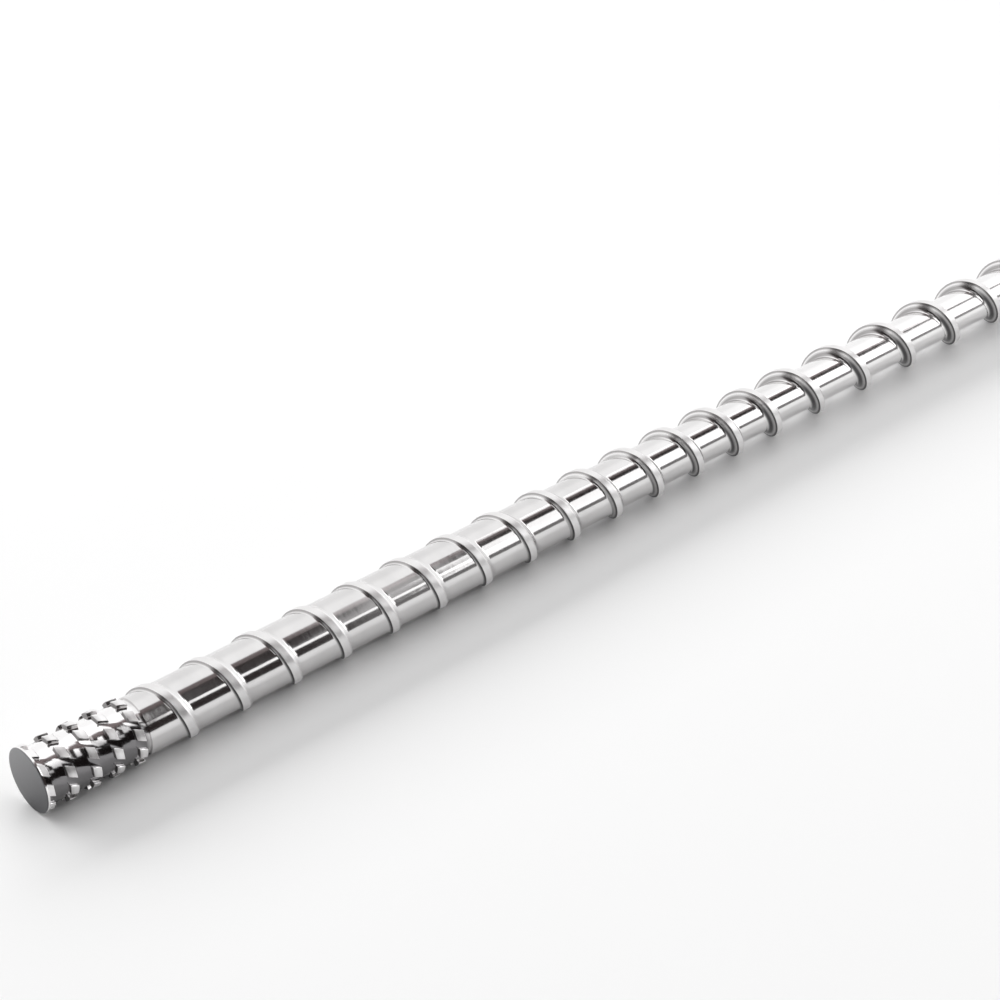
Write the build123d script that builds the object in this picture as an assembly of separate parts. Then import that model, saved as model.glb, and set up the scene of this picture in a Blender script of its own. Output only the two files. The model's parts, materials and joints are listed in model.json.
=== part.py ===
from build123d import *
import os

# Extruder screw in millimetres. It is built with Z running from the tip face to the
# drive end, and is laid along X with its tip towards +X at the end.

# Diameters and lengths
screw_dia = 60.0
flighted_length = 1320.0
journal_dia = 59.0
journal_length = 60.0
shank_dia = 45.0
shank_length = 150.0
shank_chamfer = 2.0

# Flight: axial width of the land, the two pitches, and the run of its tip-side edge
land_width = 7.0
metering_pitch = 55.0
feed_pitch = 70.0
flight_edge_from_tip = 145.0
flight_edge_angle = 135.5
pitch_change_from_tip = 881.0

# Channel: depths, how far its flanks slope along the axis, the turns of its root taper and
# of its run-out, and the full collar that the run-out leaves before the journal
metering_depth = 2.7
feed_depth = 9.0
metering_trail_run = 6.0
feed_trail_run = 6.0
metering_push_run = 2.0
feed_push_run = 3.5
taper_turns = 7
fade_turns = 0.5
run_out_collar = 12.0

# Mixing head: an end plate and slotted rings on a reduced core, and the relief behind the last ring
head_relief = 6.0
head_core_dia = 52.0
tip_plate = 2.5
ring_count = 5
ring_spacing = 22.5
ring_width = 8.0
slot_count = 10
slot_width = 7.0
slot_lean = 28.5
first_slot_angle = 23.9
slot_turn_per_ring = 23.3

# Keyway in the shank
key_width = 14.0
key_depth = 5.5
key_length = 110.0
key_setback = 20.0

# Derived sizes
screw_r = screw_dia / 2
head_core_r = head_core_dia / 2
head_length = (ring_count - 1) * ring_spacing + ring_width + head_relief
journal_r = journal_dia / 2
shank_r = shank_dia / 2
metering_root_r = screw_r - metering_depth
feed_root_r = screw_r - feed_depth
tool_clear = land_width * 0.3
tool_top_r = screw_r + tool_clear
bar_length = flighted_length + journal_length
total_length = bar_length + shank_length
from_base = (Align.CENTER, Align.CENTER, Align.MIN)


def flight_edge(angle):
    """Distance from the tip of the flight's tip-side edge at an unwrapped angle."""
    plain = flight_edge_from_tip + metering_pitch * (angle - flight_edge_angle) / 360
    if plain <= pitch_change_from_tip:
        return plain
    return pitch_change_from_tip + (plain - pitch_change_from_tip) * feed_pitch / metering_pitch


def channel_section(root_r, trail_run, push_run, width):
    """Channel cross-section in the XZ half-plane, with z = 0 at the land's trailing edge."""
    overshoot = tool_clear / (screw_r - root_r)
    corners = [
        (tool_top_r, 0, -overshoot * trail_run),
        (root_r, 0, trail_run),
        (root_r, 0, width - push_run),
        (tool_top_r, 0, width + overshoot * push_run),
    ]
    return Face(Wire.make_polygon(corners, close=True))


def channel_cut(angle_from, angle_to, pitch, section_from, section_to):
    """Solid that the channel sweeps from one unwrapped angle to another."""
    turns = (angle_to - angle_from) / 360
    path = Helix(pitch, turns * pitch, screw_r)
    if section_from is section_to:
        solid = sweep(section_from, path=path, is_frenet=True)
    else:
        finish = Pos(0, 0, turns * pitch) * Rot(0, 0, 360 * turns) * section_to
        solid = sweep([section_from, finish], path=path, multisection=True, is_frenet=True)
    return Pos(0, 0, flight_edge(angle_from) + land_width) * Rot(0, 0, angle_from) * solid


# Flighted length: a plain bar with the channel cut in five lengths, which are the metering
# channel, the tapering root, a turn that widens, the feed channel and its run-out
change_angle = flight_edge_angle + 360 * (pitch_change_from_tip - flight_edge_from_tip) / metering_pitch
taper_end_angle = change_angle - 360
taper_start_angle = taper_end_angle - 360 * taper_turns
first_angle = flight_edge_angle - 360 * (flight_edge_from_tip - head_length) / metering_pitch - 540
run_out_length = flighted_length - run_out_collar - pitch_change_from_tip
last_angle = change_angle + 360 * run_out_length / feed_pitch - 360
fade_angle = last_angle - 360 * fade_turns

narrow = metering_pitch - land_width
wide = feed_pitch - land_width
metering = channel_section(metering_root_r, metering_trail_run, metering_push_run, narrow)
deep_narrow = channel_section(feed_root_r, feed_trail_run, feed_push_run, narrow)
deep_wide = channel_section(feed_root_r, feed_trail_run, feed_push_run, wide)
faded = Pos(feed_depth + tool_clear, 0, 0) * deep_wide

screw = Pos(0, 0, head_length) * Cylinder(screw_r, flighted_length - head_length, align=from_base)
screw -= channel_cut(first_angle, taper_start_angle, metering_pitch, metering, metering)
screw -= channel_cut(taper_start_angle, taper_end_angle, metering_pitch, metering, deep_narrow)
screw -= channel_cut(taper_end_angle, change_angle, metering_pitch, deep_narrow, deep_wide)
screw -= channel_cut(change_angle, fade_angle, feed_pitch, deep_wide, deep_wide)
screw -= channel_cut(fade_angle, last_angle, feed_pitch, deep_wide, faded)

# Mixing head: each ring is slotted by itself, then closed on the core, whose end plate has no slots
head = Cylinder(head_core_r, head_length, align=from_base)
head += Cylinder(screw_r, tip_plate, align=from_base)
for ring in range(ring_count):
    band = Cylinder(screw_r, ring_width, align=from_base)
    slot = Pos(head_core_r - tool_clear, 0, ring_width / 2) * Rot(-slot_lean, 0, 0) * Box(
        screw_r, slot_width, 3 * ring_width, align=(Align.MIN, Align.CENTER, Align.CENTER)
    )
    for index in range(slot_count):
        turn = first_slot_angle + ring * slot_turn_per_ring + index * 360 / slot_count
        band -= Rot(0, 0, turn) * slot
    head += Pos(0, 0, ring * ring_spacing) * band

# Drive end: journal and keyed shank
journal = Pos(0, 0, flighted_length) * Cylinder(journal_r, journal_length, align=from_base)
shank = Pos(0, 0, bar_length) * Cylinder(shank_r, shank_length, align=from_base)
shank = chamfer(shank.edges().sort_by(Axis.Z)[-1], shank_chamfer)
key_middle = total_length - key_setback - key_length / 2
keyway = Plane(origin=(shank_r - key_depth, 0, key_middle), x_dir=(0, 0, 1), z_dir=(1, 0, 0)) * extrude(
    SlotOverall(key_length, key_width), 2 * key_depth
)
shank -= keyway

screw = screw + head + journal + shank
screw = Plane(origin=(total_length / 2, 0, 0), x_dir=(0, 0, 1), z_dir=(-1, 0, 0)) * screw

os.makedirs("parts", exist_ok=True)
export_step(screw, "parts/extruder_screw.step")
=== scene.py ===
import json
import math

import bmesh
import bpy
from mathutils import Matrix, Vector


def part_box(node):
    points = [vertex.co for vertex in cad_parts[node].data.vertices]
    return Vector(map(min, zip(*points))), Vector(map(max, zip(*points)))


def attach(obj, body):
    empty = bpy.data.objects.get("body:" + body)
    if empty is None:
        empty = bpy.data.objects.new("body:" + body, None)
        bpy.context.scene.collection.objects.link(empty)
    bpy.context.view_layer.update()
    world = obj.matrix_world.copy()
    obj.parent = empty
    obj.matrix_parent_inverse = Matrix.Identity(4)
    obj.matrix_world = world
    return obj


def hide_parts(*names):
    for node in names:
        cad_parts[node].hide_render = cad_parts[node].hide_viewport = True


# Looks of the extruder screw, in metres. The screw lies along X with its tip towards +X.
# Distances from the tip face run towards -X, and angles turn from +Z towards +Y.

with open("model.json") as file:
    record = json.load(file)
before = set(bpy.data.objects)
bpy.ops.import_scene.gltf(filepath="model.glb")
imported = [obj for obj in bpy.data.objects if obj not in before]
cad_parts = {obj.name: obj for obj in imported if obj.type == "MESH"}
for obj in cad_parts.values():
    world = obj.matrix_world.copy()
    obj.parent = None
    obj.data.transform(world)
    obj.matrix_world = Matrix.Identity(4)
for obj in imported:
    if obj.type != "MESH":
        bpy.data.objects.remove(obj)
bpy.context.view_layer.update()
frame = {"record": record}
screw_low, screw_high = (Vector(corner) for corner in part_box("extruder_screw"))
mounts = {mount["name"]: mount for mount in frame["record"]["mounts"]}

MM = 0.001
TURN = 2 * math.pi

# Sizes that the frame gives
tip_x = screw_high.x
screw_r = screw_high.z
total_length = screw_high.x - screw_low.x
floor_z = screw_low.z
shank_r = mounts["drive_shank"]["dims"]["r_mm"] * MM
journal_r = mounts["barrel_journal"]["dims"]["r_mm"] * MM
journal_length = mounts["barrel_journal"]["dims"]["length_mm"] * MM

# Lengths along the axis
shank_length = 150 * MM
shank_chamfer = 2 * MM
bar_length = total_length - shank_length
flighted_length = bar_length - journal_length

# Flight: axial width of the land, the two pitches, and the run of its tip-side edge
land_width = 7 * MM
metering_pitch = 55 * MM
feed_pitch = 70 * MM
flight_edge_from_tip = 145 * MM
flight_edge_angle = math.radians(135.5)
pitch_change_from_tip = 881 * MM

# Channel: depths, how far its flanks slope along the axis, the turns of its root taper and
# of its run-out, how many feed depths its floor rises there, and the full collar that the
# run-out leaves before the journal
metering_depth = 2.7 * MM
feed_depth = 9 * MM
trail_run = 6 * MM
metering_push_run = 2 * MM
feed_push_run = 3.5 * MM
taper_turns = 7
fade_turns = 0.5
fade_rise = 1.2
run_out_collar = 12 * MM

# Mixing head: an end plate and slotted rings on a reduced core, and the relief behind the last ring
head_relief = 6 * MM
tip_plate = 2.5 * MM
head_core_r = 26 * MM
ring_count = 5
ring_spacing = 22.5 * MM
ring_width = 8 * MM
slot_count = 10
slot_width = 7 * MM
slot_lean = math.radians(28.5)
first_slot_angle = math.radians(23.9)
slot_turn_per_ring = math.radians(23.3)
head_length = (ring_count - 1) * ring_spacing + ring_width + head_relief

# Keyway in the shank
key_width = 14 * MM
key_depth = 5.5 * MM
key_length = 110 * MM
key_setback = 20 * MM

# Rounds that a cutter and a polishing wheel leave
edge_round = 0.5 * MM
land_edge_round = 0.9 * MM
tip_edge_round = 1.5 * MM
trail_root_round = 7 * MM
push_root_round = 1.6 * MM
deep_root_round = 4.5 * MM
tooth_root_round = 0.8 * MM

# Fineness of the meshes
steps_per_turn = 72
round_steps = 6
key_end_steps = 12
shell_overlap = 1 * MM
hairline = 0.01 * MM
merge_distance = hairline / 10
sharp_angle = math.radians(40)

# Extra points: beside a round and the tip's round in shares of their reach, on the end face as a
# share of its radius, on half a tooth as a share of its angle
beside_round = 1.25
beside_tip_round = 1.2
on_end_face = 0.6
on_half_tooth = 0.75

# Turns that the flight is made longer by at each end, before it is cut to length
lead_in_turns = 1.5
lead_out_turns = 0.5

# Finishes, and painted light and shade, as linear colours
root_dark = (0.65, 0.64, 0.64, 1)
root_light = (0.79, 0.78, 0.78, 1)
# Root of the feed zone, painted brighter: a painted reflection that grows brighter towards the drive end
feed_painted_dark = (0.85, 0.84, 0.84, 1)
feed_painted_light = (0.95, 0.94, 0.94, 1)
land_tone = (0.84, 0.83, 0.83, 1)
# Flanks that face the tip: painted reflection lines, darker at the low front and lighter at the top
flank_painted_dark = (0.12, 0.117, 0.12, 1)
flank_painted_light = (0.65, 0.64, 0.64, 1)
top_flank_painted_dark = (0.4, 0.39, 0.39, 1)
top_flank_painted_light = (0.92, 0.91, 0.91, 1)
# Head: painted brighter, as painted light on its teeth and upper core, with painted shade on its core's
# low front
head_painted_light = (0.95, 0.94, 0.94, 1)
low_core_painted_shade = (0.22, 0.215, 0.22, 1)
# Ring walls that face the tip: painted shade
ring_wall_painted_shade = (0.22, 0.21, 0.21, 1)
# End face: painted shade, dark in place of dark reflections and lighter up and back
end_painted_dark = (0.115, 0.115, 0.12, 1)
end_painted_light = (0.28, 0.28, 0.285, 1)

# Distances from the tip between which the root is painted brighter, a painted reflection
painted_brighter_root = (0.6, 1)

# Degrees from the top between which the low front sets in, where the painted shade goes
low_front_degrees = (30, 50)

# X parts of a point's normal between which it comes to face the tip
facing_tip_parts = (0.25, 0.6)

# Depths of a flank's painted dark edge, its painted light line and its painted dark foot, in feed depths
flank_painted_line_depths = (0.15, 0.32, 0.62)

# End face: how far it reaches from the tip, and the range of Z less Y over which its painted shade turns
# light
end_face_reach = 0.4 * tip_edge_round
end_light_range = (-screw_r, 1.3 * screw_r)

# Marks: their fineness along the screw and round it, and the strength and depth of their relief
fine_marks = (900, 25)
broad_marks = (45, 30)
mark_detail = 4
lathe_rings = 500
lathe_wobble = 0.6
fine_relief = (0.08, 0.05 * MM)
broad_relief = (0.4, 0.3 * MM)
lathe_relief = (0.1, 0.05 * MM)

# Roughness of the steel, as a range where marks vary it
root_roughness = (0.07, 0.17)
land_roughness = 0.38
flank_roughness = 0.24
ring_wall_roughness = 0.3
end_roughness = (0.38, 0.5)

# Floor
floor_half_width = 8
floor_tone = (0.9, 0.9, 0.9, 1)
floor_roughness = 0.9

# Studio sky: turns in degrees round the screw's axis from level behind it over the top, and tones
white = (1, 1, 1, 1)
sky_stops = (
    (0, (0.88, 0.88, 0.88, 1)),
    (40, (0.88, 0.88, 0.88, 1)),
    (60, white),
    (89, white),
    (93, (0.17, 0.14, 0.14, 1)),
    (104, (0.14, 0.115, 0.115, 1)),
    (110, (0.025, 0.02, 0.02, 1)),
    (178.5, (0.025, 0.02, 0.02, 1)),
    (180, (0.6, 0.6, 0.6, 1)),
)

# X parts of a direction between which the sky turns white towards the drive end, and the sky's
# strength where the steel mirrors it and where it lights the floor
white_drive_end = (-0.68, -0.82)
mirrored_sky = 1.15
sky_fill = 0.35

# Lamps that light the floor: place, the point that each one faces, width and height, brightness
lamps = (
    ("back_softbox", (0, -7, 3.5), (0, 0, 0), (14, 3.6), 5),
    ("overhead_light", (-0.2, 0.6, 5), (-0.2, 0.6, 0), (10, 10), 0.85),
    ("front_fill", (-1.7, 2, 1.8), (-0.6, 0.1, 0), (1.6, 1.6), 1.2),
)

# Cards that the steel mirrors: reach along X, degrees above level, brightness
card_distance = 1.6
cards = (
    ("head_card", 0.03, 0.5, 40, 70, 1.5),
    ("strip_card", -0.7, -0.015, 28, 37.5, 1.35),
    ("grey_card", -0.62, -0.4, 39, 88, 0.5),
    ("wide_card", -3.2, -0.62, 15, 58, 1.35),
    ("top_card", -3.2, -0.68, 82, 92, 1),
    ("far_low_card", -3.2, -1.74, 58, 66, 1),
    ("far_top_card", -3.2, -1.74, 73, 82, 1),
    ("low_card", -2.4, -0.4, 2, 27, 0.15),
)

# Camera, fitted to the photograph: its lens, its place from the middle of the tip face, its turns
camera_sensor_mm = 36
camera_lens_mm = 87.2636
camera_ahead, camera_in_front, camera_up = 0.6906409, 1.3868902, 1.3213747
camera_turns = (math.radians(55.240), 0, math.radians(139.0764))


def on_screw(from_tip, angle, radius):
    """Point of the screw at a distance from the tip face, an angle and a radius."""
    return Vector((tip_x - from_tip, radius * math.sin(angle), radius * math.cos(angle)))


def share(value, start, end):
    """How far a value has come from start to end, held between 0 and 1."""
    return min(1.0, max(0.0, (value - start) / (end - start)))


def rounded(corners, radii):
    """Outline through corners, each replaced by a tangent arc of its radius, ends kept."""
    points = [corners[0]]
    for before, corner, after, radius in zip(corners, corners[1:], corners[2:], radii):
        back = (before - corner).normalized()
        ahead = (after - corner).normalized()
        half = back.angle(ahead) / 2
        centre = corner + (back + ahead).normalized() * (radius / math.sin(half))
        reach = radius / math.tan(half)
        start = corner + back * reach - centre
        sweep = start.angle_signed(corner + ahead * reach - centre)
        points.append(corner + back * (reach * beside_round))
        for step in range(round_steps + 1):
            points.append(centre + Matrix.Rotation(-sweep * step / round_steps, 2) @ start)
        points.append(corner + ahead * (reach * beside_round))
    points.append(corners[-1])
    return points


def channel_outline(depth, push_run, pitch, root_rounds):
    """Section of one turn, from the middle of a land to the middle of the next one.

    Each point is a distance from the land's tip-side edge and a radius.
    """
    root = screw_r - depth
    corners = [
        Vector((land_width / 2, screw_r)),
        Vector((land_width, screw_r)),
        Vector((land_width + trail_run, root)),
        Vector((pitch - push_run, root)),
        Vector((pitch, screw_r)),
        Vector((pitch + land_width / 2, screw_r)),
    ]
    return rounded(corners, [land_edge_round, *root_rounds, land_edge_round])


def flight_edge(angle):
    """Distance from the tip of the flight's tip-side edge at an unwrapped angle."""
    plain = flight_edge_from_tip + metering_pitch * (angle - flight_edge_angle) / TURN
    if plain <= pitch_change_from_tip:
        return plain
    return pitch_change_from_tip + (plain - pitch_change_from_tip) * feed_pitch / metering_pitch


def flighted_length_mesh():
    """Flight and tapering root: one turn's section spun along the screw."""
    metering_rounds = (trail_root_round, push_root_round)
    deep_rounds = (deep_root_round, deep_root_round)
    metering = channel_outline(metering_depth, metering_push_run, metering_pitch, metering_rounds)
    deep = channel_outline(feed_depth, feed_push_run, metering_pitch, deep_rounds)
    wide = channel_outline(feed_depth, feed_push_run, feed_pitch, deep_rounds)

    before_change = pitch_change_from_tip - flight_edge_from_tip
    change_angle = flight_edge_angle + TURN * before_change / metering_pitch
    taper_end = change_angle - TURN
    taper_start = taper_end - TURN * taper_turns
    run_out_length = flighted_length - run_out_collar - pitch_change_from_tip
    fade_end = change_angle + TURN * run_out_length / feed_pitch - TURN
    fade_start = fade_end - TURN * fade_turns
    head_angle = flight_edge_angle + TURN * (head_length - flight_edge_from_tip) / metering_pitch
    first_angle = head_angle - lead_in_turns * TURN
    journal_angle = change_angle + TURN * (flighted_length - pitch_change_from_tip) / feed_pitch
    last_angle = journal_angle + lead_out_turns * TURN
    turns_in_all = math.ceil((last_angle - first_angle) / TURN)

    bm = bmesh.new()
    place = bm.verts.layers.int.new("place")
    section = []
    for index, point in enumerate(metering):
        vert = bm.verts.new((-point.x, 0, point.y))
        vert[place] = index
        section.append(vert)
    edges = [bm.edges.new(pair) for pair in zip(section, section[1:])]
    bmesh.ops.spin(
        bm, geom=section + edges, cent=(0, 0, 0), axis=(-1, 0, 0),
        dvec=(-metering_pitch / steps_per_turn, 0, 0), angle=TURN, steps=steps_per_turn, use_merge=False,
    )
    one_turn = bm.verts[:] + bm.edges[:] + bm.faces[:]
    for turn in range(1, turns_in_all):
        copied = bmesh.ops.duplicate(bm, geom=one_turn)["geom"]
        copied_verts = [element for element in copied if isinstance(element, bmesh.types.BMVert)]
        bmesh.ops.translate(bm, verts=copied_verts, vec=(-metering_pitch * turn, 0, 0))

    for vert in bm.verts:
        index = vert[place]
        turns = round((-vert.co.x - metering[index].x) / metering_pitch * steps_per_turn) / steps_per_turn
        angle = first_angle + TURN * turns
        deepened = metering[index].lerp(deep[index], share(angle, taper_start, taper_end))
        along, radius = deepened.lerp(wide[index], share(angle, taper_end, change_angle))
        radius += fade_rise * feed_depth * share(angle, fade_start, fade_end)
        vert.co = on_screw(flight_edge(angle) + along, angle, min(screw_r, radius))
    bmesh.ops.remove_doubles(bm, verts=bm.verts, dist=merge_distance)

    for end, outward in ((head_length, 1), (flighted_length, -1)):
        bmesh.ops.bisect_plane(
            bm, geom=bm.verts[:] + bm.edges[:] + bm.faces[:], dist=merge_distance,
            plane_co=(tip_x - end, 0, 0), plane_no=(outward, 0, 0), clear_outer=True,
        )
    rims = [edge for edge in bm.edges if edge.is_boundary]
    bmesh.ops.holes_fill(bm, edges=rims, sides=0)
    bmesh.ops.recalc_face_normals(bm, faces=bm.faces)
    return bm


def head_rows():
    """Lengthwise section of the mixing head: distances from the tip and radii."""
    root = tooth_root_round
    eased = root * (1 - math.sqrt(0.5))
    rows = [(0, 0), (0, screw_r * on_end_face), (0, screw_r - beside_tip_round * tip_edge_round)]
    for step in range(round_steps + 1):
        turn = math.pi / 2 * step / round_steps
        inset = screw_r - tip_edge_round + tip_edge_round * math.sin(turn)
        rows.append((tip_edge_round * (1 - math.cos(turn)), inset))
    rows += [(tip_plate, screw_r), (tip_plate + hairline, screw_r)]
    for ring in range(ring_count):
        start = ring * ring_spacing
        end = start + ring_width
        if ring > 0:
            rows += [
                (start - root, head_core_r),
                (start - eased, head_core_r + eased),
                (start, head_core_r + root),
                (start, screw_r - edge_round),
                (start + edge_round, screw_r),
            ]
        rows += [
            ((start + end) / 2, screw_r),
            (end - edge_round, screw_r),
            (end, screw_r - edge_round),
            (end, head_core_r + root),
            (end + eased, head_core_r + eased),
            (end + root, head_core_r),
            ((end + start + ring_spacing) / 2, head_core_r),
        ]
    rows[-1] = (head_length + shell_overlap, head_core_r)
    rows.append((head_length + shell_overlap, 0))
    return rows


def slot_columns():
    """Half of a slot's section and half a tooth: each point's way across, its angle and its radius.

    A point has a way across from the slot's middle up to the edge of the tooth, and an angle on the tooth.
    """
    half = slot_width / 2 / math.cos(slot_lean)
    root = tooth_root_round
    eased = root * (1 - math.sqrt(0.5))
    tooth_middle = math.pi / slot_count
    return [
        (0, None, head_core_r),
        (half - root, None, head_core_r),
        (half - eased, None, head_core_r + eased),
        (half, None, head_core_r + root),
        (half, None, screw_r - edge_round),
        (half + edge_round, None, screw_r),
        (None, tooth_middle * on_half_tooth, screw_r),
        (None, tooth_middle, screw_r),
    ]


def mixing_head_mesh():
    """Slotted rings: a turned outline whose slots are then pressed in and leant along the screw."""
    half_columns = slot_columns()
    columns = 2 * (len(half_columns) - 1)
    steps = slot_count * columns

    bm = bmesh.new()
    outline = [bm.verts.new((tip_x - from_tip, 0, radius)) for from_tip, radius in head_rows()]
    edges = [bm.edges.new(pair) for pair in zip(outline, outline[1:])]
    bmesh.ops.spin(
        bm, geom=outline + edges, cent=(0, 0, 0), axis=(-1, 0, 0), dvec=(0, 0, 0),
        angle=TURN, steps=steps, use_merge=True,
    )
    for vert in bm.verts:
        from_tip = tip_x - vert.co.x
        radius = math.hypot(vert.co.y, vert.co.z)
        if radius < hairline:
            continue
        slot, column = divmod(round(math.atan2(vert.co.y, vert.co.z) / TURN * steps) % steps, columns)
        past_tooth = column >= len(half_columns)
        across, angle, height = half_columns[columns - column if past_tooth else column]
        if from_tip > tip_plate + hairline / 2:
            radius = min(radius, height)
        if angle is None:
            angle = math.asin(min(1, across / max(radius, head_core_r)))
        middle = first_slot_angle + slot_turn_per_ring * (from_tip - ring_width / 2) / ring_spacing
        turned = TURN * (slot + 1) / slot_count - angle if past_tooth else TURN * slot / slot_count + angle
        vert.co = on_screw(from_tip, middle + turned, radius)
    bmesh.ops.remove_doubles(bm, verts=bm.verts, dist=merge_distance)
    bmesh.ops.recalc_face_normals(bm, faces=bm.faces)
    return bm


def keyway_cutter_mesh():
    """Round-ended block that the keyway is cut with."""
    bm = bmesh.new()
    middle = on_screw(total_length - key_setback - key_length / 2, 0, shank_r)
    size = Matrix.Diagonal((key_length, key_width, 2 * key_depth, 1))
    bmesh.ops.create_cube(bm, size=1, matrix=Matrix.Translation(middle) @ size)
    uprights = [edge for edge in bm.edges if abs(edge.verts[0].co.z - edge.verts[1].co.z) > key_depth]
    bmesh.ops.bevel(
        bm, geom=uprights, offset=key_width / 2 - hairline, affect="EDGES",
        segments=key_end_steps, profile=0.5, material=-1,
    )
    return bm


def turned_length_mesh(start, end, radius):
    """Plain cylinder between two distances from the tip."""
    bm = bmesh.new()
    middle = on_screw((start + end) / 2, 0, 0)
    bmesh.ops.create_cone(
        bm, cap_ends=True, cap_tris=False, segments=steps_per_turn, radius1=radius, radius2=radius,
        depth=end - start, matrix=Matrix.Translation(middle) @ Matrix.Rotation(math.pi / 2, 4, "Y"),
    )
    return bm


def drive_shank_mesh():
    """Shank with a chamfered end."""
    bm = turned_length_mesh(bar_length - shell_overlap, total_length, shank_r)
    end_rim = [edge for edge in bm.edges if all(vert.co.x < screw_low.x + hairline for vert in edge.verts)]
    bmesh.ops.bevel(
        bm, geom=end_rim, offset=shank_chamfer, affect="EDGES", segments=1, profile=0.5, material=-1,
    )
    return bm


def new_object(name, bm):
    """Object at the origin that takes over a bmesh."""
    mesh = bpy.data.meshes.new(name)
    bm.to_mesh(mesh)
    bm.free()
    piece = bpy.data.objects.new(name, mesh)
    bpy.context.scene.collection.objects.link(piece)
    return piece


def cut_keyway(shank):
    """Takes the keyway out of the shank's mesh."""
    cutter = new_object("keyway_cutter", keyway_cutter_mesh())
    cut = shank.modifiers.new("keyway", "BOOLEAN")
    cut.operation = "DIFFERENCE"
    cut.solver = "EXACT"
    cut.object = cutter
    keyed = bpy.data.meshes.new_from_object(shank.evaluated_get(bpy.context.evaluated_depsgraph_get()))
    shank.modifiers.clear()
    shank.data = keyed
    bpy.data.objects.remove(cutter)


def mark_finish_and_painted_shade(screw):
    """Marks each point with how far it has the ground land's finish, and where the painted shade goes.

    The ground land is a finish. A flank or a ring wall that faces the tip, the low front, and the
    low front of the head's core are masks for painted shade. One more mark is the depth below the land,
    for the painted lines on the flanks.
    """
    mesh = screw.data
    names = ("ground_land", "pushing_flank", "ring_wall", "depth_below_land", "low_front", "head_core")
    for name in names:
        mesh.attributes.new(name, "FLOAT", "POINT")
    land, flank, wall, depth, front, core = (mesh.attributes[name].data for name in names)
    flight_end = flighted_length - 2 * shell_overlap
    for index, vert in enumerate(mesh.vertices):
        from_tip = tip_x - vert.co.x
        radius = math.hypot(vert.co.y, vert.co.z)
        outer_r = screw_r if from_tip < flight_end else journal_r
        if tip_plate < from_tip < bar_length + hairline:
            land[index].value = share(radius, outer_r - edge_round, outer_r - edge_round / 10)
        depth[index].value = (screw_r - radius) / feed_depth
        # Low front: where the flanks and the head's core get painted shade
        front[index].value = share(math.degrees(math.atan2(vert.co.y, vert.co.z)), *low_front_degrees)
        # Low front of the head's core: painted shade
        if from_tip < head_length and radius < head_core_r + tooth_root_round / 2:
            core[index].value = front[index].value
        # Faces towards the tip: where the ring walls and the flanks get painted shade
        facing_tip = share(vert.normal.x, *facing_tip_parts)
        if tip_plate + hairline < from_tip < head_length - hairline:
            wall[index].value = facing_tip
        elif head_length < from_tip < flight_end and radius < screw_r - edge_round / 2:
            flank[index].value = facing_tip


def new_material(name, metallic):
    """Material with its nodes, its links and its shader."""
    material = bpy.data.materials.new(name)
    material.use_nodes = True
    tree = material.node_tree
    shader = tree.nodes["Principled BSDF"]
    shader.inputs["Metallic"].default_value = metallic
    return material, tree.nodes, tree.links, shader


def set_input(links, socket, value):
    """Links a socket to another one, or gives it a plain value."""
    if isinstance(value, bpy.types.NodeSocket):
        links.new(value, socket)
    else:
        socket.default_value = value


def coordinates(nodes, links, kind):
    """X, Y and Z of a place on the object, or of a direction in the world."""
    place = nodes.new("ShaderNodeTexCoord")
    parts = nodes.new("ShaderNodeSeparateXYZ")
    links.new(place.outputs[kind], parts.inputs["Vector"])
    return parts.outputs


def worked_out(nodes, links, operation, first, second):
    """Result of a math node on two numbers, each a socket or a plain value."""
    maths = nodes.new("ShaderNodeMath")
    maths.operation = operation
    for socket, value in zip(maths.inputs, (first, second)):
        set_input(links, socket, value)
    return maths.outputs["Value"]


def grown(nodes, links, value, start, end, easing="LINEAR"):
    """Number that goes from 0 to 1 as a value goes from start to end."""
    growth = nodes.new("ShaderNodeMapRange")
    growth.interpolation_type = easing
    growth.inputs["From Min"].default_value = start
    growth.inputs["From Max"].default_value = end
    links.new(value, growth.inputs["Value"])
    return growth.outputs["Result"]


def between(nodes, links, factor, low, high):
    """Number that goes from low to high as a factor goes from 0 to 1."""
    blend = nodes.new("ShaderNodeMapRange")
    links.new(factor, blend.inputs["Value"])
    blend.inputs["To Min"].default_value = low
    blend.inputs["To Max"].default_value = high
    return blend.outputs["Result"]


def mixed(nodes, links, kind, factor, first, second):
    """Blend of two colours or numbers, each a socket or a plain value."""
    blend = nodes.new("ShaderNodeMix")
    blend.data_type = kind
    links.new(factor, blend.inputs["Factor"])
    socket_type = "RGBA" if kind == "RGBA" else "VALUE"
    ends = [socket for socket in blend.inputs if socket.type == socket_type][-2:]
    for socket, value in zip(ends, (first, second)):
        set_input(links, socket, value)
    return next(socket for socket in blend.outputs if socket.type == socket_type)


def relief(nodes, links, height, strength, depth):
    """Bump node that raises a pattern."""
    bump = nodes.new("ShaderNodeBump")
    bump.inputs["Strength"].default_value = strength
    bump.inputs["Distance"].default_value = depth
    links.new(height, bump.inputs["Height"])
    return bump


def streaks(nodes, links, along, around):
    """Noise drawn out round the screw: how fine it is along the axis and around it."""
    place = nodes.new("ShaderNodeTexCoord")
    stretch = nodes.new("ShaderNodeMapping")
    stretch.inputs["Scale"].default_value = (along, around, around)
    links.new(place.outputs["Object"], stretch.inputs["Vector"])
    noise = nodes.new("ShaderNodeTexNoise")
    noise.inputs["Scale"].default_value = 1
    noise.inputs["Detail"].default_value = mark_detail
    links.new(stretch.outputs["Vector"], noise.inputs["Vector"])
    return noise.outputs["Fac"]


def finish_or_shade_share(nodes, name):
    """Attribute that says where a finish or a painted shade is."""
    attribute = nodes.new("ShaderNodeAttribute")
    attribute.attribute_name = name
    return attribute.outputs["Fac"]


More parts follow.
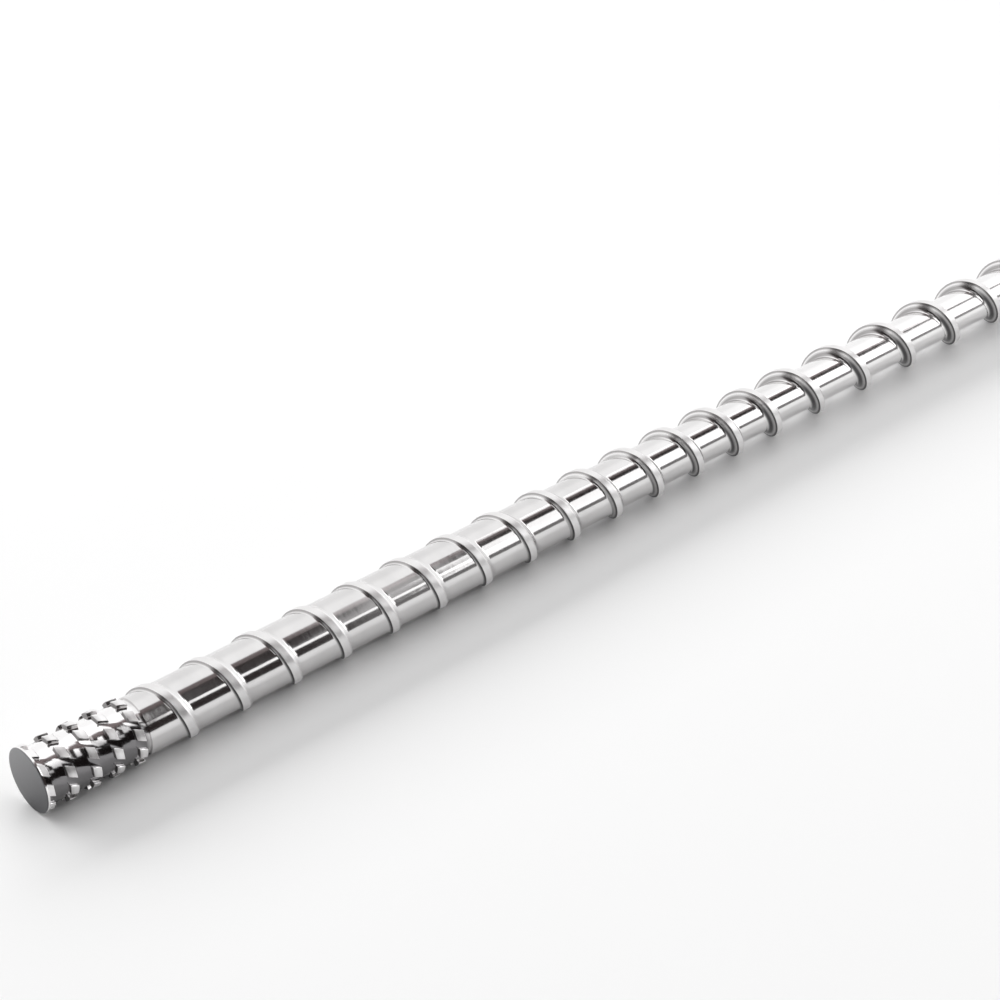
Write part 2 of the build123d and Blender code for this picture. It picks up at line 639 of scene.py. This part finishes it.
def along_screw(nodes, links, start, end):
    """Number that goes from 0 to 1 between two distances from the tip."""
    return grown(nodes, links, coordinates(nodes, links, "Object")["X"], tip_x - start, tip_x - end)


def painted_flank_line(nodes, links, dark, light):
    """Tone across a flank: painted reflection, a light line between two dark ones."""
    edge_depth, line_depth, foot_depth = flank_painted_line_depths
    line = nodes.new("ShaderNodeValToRGB")
    links.new(finish_or_shade_share(nodes, "depth_below_land"), line.inputs["Fac"])
    stops = line.color_ramp.elements
    stops[0].position, stops[0].color = edge_depth, dark
    stops[1].position, stops[1].color = foot_depth, dark
    stops.new(line_depth).color = light
    return line.outputs["Color"]


def polished_steel():
    """Polished root with fine marks and ground lands, with painted light and shade: a brighter head and
    feed root, darker faces towards the tip, painted reflection lines on the flanks and painted shade on
    the low front.
    """
    material, nodes, links, shader = new_material("polished_steel", 1)
    land = finish_or_shade_share(nodes, "ground_land")
    flank = finish_or_shade_share(nodes, "pushing_flank")
    wall = finish_or_shade_share(nodes, "ring_wall")
    fine = streaks(nodes, links, *fine_marks)
    broad = streaks(nodes, links, *broad_marks)

    metering_tone = mixed(nodes, links, "RGBA", broad, root_dark, root_light)
    # Feed root painted brighter towards the drive end: painted reflection
    feed_tone = mixed(nodes, links, "RGBA", broad, feed_painted_dark, feed_painted_light)
    towards_feed = along_screw(nodes, links, *painted_brighter_root)
    past_head = along_screw(nodes, links, head_length - head_relief, head_length)
    tone = mixed(nodes, links, "RGBA", towards_feed, metering_tone, feed_tone)
    tone = mixed(nodes, links, "RGBA", land, tone, land_tone)
    # Head painted brighter: painted light on its teeth and upper core
    tone = mixed(nodes, links, "RGBA", past_head, head_painted_light, tone)
    # Painted reflection lines across the flanks, darker at the low front and lighter at the top
    top_flank = painted_flank_line(nodes, links, top_flank_painted_dark, top_flank_painted_light)
    front_flank = painted_flank_line(nodes, links, flank_painted_dark, flank_painted_light)
    flank_tone = mixed(nodes, links, "RGBA", finish_or_shade_share(nodes, "low_front"), top_flank, front_flank)
    tone = mixed(nodes, links, "RGBA", flank, tone, flank_tone)
    # Painted shade on the low front of the head's core
    tone = mixed(nodes, links, "RGBA", finish_or_shade_share(nodes, "head_core"), tone, low_core_painted_shade)
    # Painted shade on the ring walls that face the tip
    tone = mixed(nodes, links, "RGBA", wall, tone, ring_wall_painted_shade)
    links.new(tone, shader.inputs["Base Color"])

    roughness = between(nodes, links, fine, *root_roughness)
    roughness = mixed(nodes, links, "FLOAT", land, roughness, land_roughness)
    roughness = mixed(nodes, links, "FLOAT", flank, roughness, flank_roughness)
    roughness = mixed(nodes, links, "FLOAT", wall, roughness, ring_wall_roughness)
    links.new(roughness, shader.inputs["Roughness"])

    waves = relief(nodes, links, broad, *broad_relief)
    marks = relief(nodes, links, fine, *fine_relief)
    links.new(waves.outputs["Normal"], marks.inputs["Normal"])
    links.new(marks.outputs["Normal"], shader.inputs["Normal"])
    return material


def turned_steel_painted_shade():
    """Dull end face with fine rings from the lathe, painted dark in place of dark reflections, and painted
    darker towards the lower front.
    """
    material, nodes, links, shader = new_material("turned_steel_painted_shade", 1)
    place = nodes.new("ShaderNodeTexCoord")
    rings = nodes.new("ShaderNodeTexWave")
    rings.wave_type = "RINGS"
    rings.rings_direction = "X"
    rings.inputs["Scale"].default_value = lathe_rings
    rings.inputs["Distortion"].default_value = lathe_wobble
    links.new(place.outputs["Object"], rings.inputs["Vector"])

    parts = coordinates(nodes, links, "Object")
    # Painted shade: lighter up and back, darker towards the lower front
    up_and_back = worked_out(nodes, links, "SUBTRACT", parts["Z"], parts["Y"])
    lightness = grown(nodes, links, up_and_back, *end_light_range)
    tone = mixed(nodes, links, "RGBA", lightness, end_painted_dark, end_painted_light)
    roughness = between(nodes, links, rings.outputs["Fac"], *end_roughness)
    marks = relief(nodes, links, rings.outputs["Fac"], *lathe_relief)
    links.new(tone, shader.inputs["Base Color"])
    links.new(roughness, shader.inputs["Roughness"])
    links.new(marks.outputs["Normal"], shader.inputs["Normal"])
    return material


def build_screw():
    """The whole screw as one piece that stands for the CAD solid."""
    shank = new_object("drive_shank", drive_shank_mesh())
    cut_keyway(shank)
    journal_mesh = turned_length_mesh(flighted_length - shell_overlap, bar_length, journal_r)
    journal = new_object("journal", journal_mesh)
    head = new_object("mixing_head", mixing_head_mesh())
    bm = flighted_length_mesh()
    for part in (head, journal, shank):
        bm.from_mesh(part.data)
        bpy.data.objects.remove(part)
    screw = new_object("polished_screw", bm)
    mesh = screw.data
    mesh.shade_smooth()
    mesh.set_sharp_from_angle(angle=sharp_angle)
    mesh.materials.append(polished_steel())
    mesh.materials.append(turned_steel_painted_shade())
    for face in mesh.polygons:
        if face.center.x > tip_x - end_face_reach:
            face.material_index = 1
    mark_finish_and_painted_shade(screw)
    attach(screw, "root")
    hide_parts("extruder_screw")


def add_floor():
    """Pale floor under the screw."""
    bm = bmesh.new()
    level = Matrix.Translation((0, 0, floor_z))
    bmesh.ops.create_grid(bm, x_segments=1, y_segments=1, size=floor_half_width, matrix=level)
    floor = new_object("floor", bm)
    material, _, _, shader = new_material("pale_floor", 0)
    shader.inputs["Base Color"].default_value = floor_tone
    shader.inputs["Roughness"].default_value = floor_roughness
    shader.inputs["Specular IOR Level"].default_value = 0
    floor.data.materials.append(material)


def add_world():
    """Studio round the screw: pale behind it, white above it and past its drive end, dark in front."""
    world = bpy.data.worlds.new("studio")
    world.use_nodes = True
    nodes, links = world.node_tree.nodes, world.node_tree.links
    background = nodes["Background"]
    parts = coordinates(nodes, links, "Generated")
    behind = worked_out(nodes, links, "MULTIPLY", parts["Y"], -1)
    round_axis = worked_out(nodes, links, "ARCTAN2", parts["Z"], behind)
    sky = nodes.new("ShaderNodeValToRGB")
    links.new(worked_out(nodes, links, "DIVIDE", round_axis, math.pi), sky.inputs["Fac"])
    stops = sky.color_ramp.elements
    stops.remove(stops[1])
    for index, (degrees, tone) in enumerate(sky_stops):
        stop = stops.new(degrees / 180) if index else stops[0]
        stop.position, stop.color = degrees / 180, tone
    drive_end = grown(nodes, links, parts["X"], *white_drive_end, easing="SMOOTHSTEP")
    sky_tone = mixed(nodes, links, "RGBA", drive_end, sky.outputs["Color"], white)

    path = nodes.new("ShaderNodeLightPath")
    seen = mixed(nodes, links, "RGBA", path.outputs["Is Camera Ray"], sky_tone, white)
    links.new(seen, background.inputs["Color"])
    strength = mixed(nodes, links, "FLOAT", path.outputs["Is Glossy Ray"], sky_fill, mirrored_sky)
    strength = mixed(nodes, links, "FLOAT", path.outputs["Is Camera Ray"], strength, 1)
    links.new(strength, background.inputs["Strength"])
    bpy.context.scene.world = world


def add_panel(name, at, towards, size, brightness):
    """Soft lamp of a size at a place, turned towards another, with an even brightness."""
    lamp = bpy.data.lights.new(name, "AREA")
    lamp.shape = "RECTANGLE"
    lamp.size, lamp.size_y = size
    lamp.energy = brightness * math.pi * size[0] * size[1]
    panel = bpy.data.objects.new(name, lamp)
    panel.location = at
    inward = (Vector(at) - Vector(towards)).normalized()
    level = Vector((0, 0, 1)).cross(inward).normalized()
    panel.rotation_euler = Matrix((level, inward.cross(level), inward)).transposed().to_euler()
    panel.visible_camera = False
    bpy.context.scene.collection.objects.link(panel)
    return panel


def add_lamps():
    """Softbox behind the screw, and light from above and in front, which give the floor its shadow."""
    for name, at, towards, size, brightness in lamps:
        lamp = add_panel(name, at, towards, size, brightness)
        lamp.visible_glossy = False


def add_cards():
    """Pale cards in front of the screw and above it, each one facing its axis."""
    for name, x_from, x_to, low, high, brightness in cards:
        rise = math.radians((low + high) / 2)
        height = 2 * card_distance * math.tan(math.radians((high - low) / 2))
        middle = Vector(((x_from + x_to) / 2, 0, 0))
        out = Vector((0, math.cos(rise), math.sin(rise))) * card_distance
        card = add_panel(name, middle + out, middle, (x_to - x_from, height), brightness)
        card.visible_diffuse = False


def add_camera():
    """Camera at the photograph's viewing angle."""
    data = bpy.data.cameras.new("camera")
    data.sensor_width = camera_sensor_mm
    data.lens = camera_lens_mm
    camera = bpy.data.objects.new("camera", data)
    camera.location = (tip_x + camera_ahead, camera_in_front, camera_up)
    camera.rotation_euler = camera_turns
    bpy.context.scene.collection.objects.link(camera)
    bpy.context.scene.camera = camera


build_screw()
add_floor()
add_world()
add_lamps()
add_cards()
add_camera()
bpy.context.scene.view_settings.view_transform = "Standard"
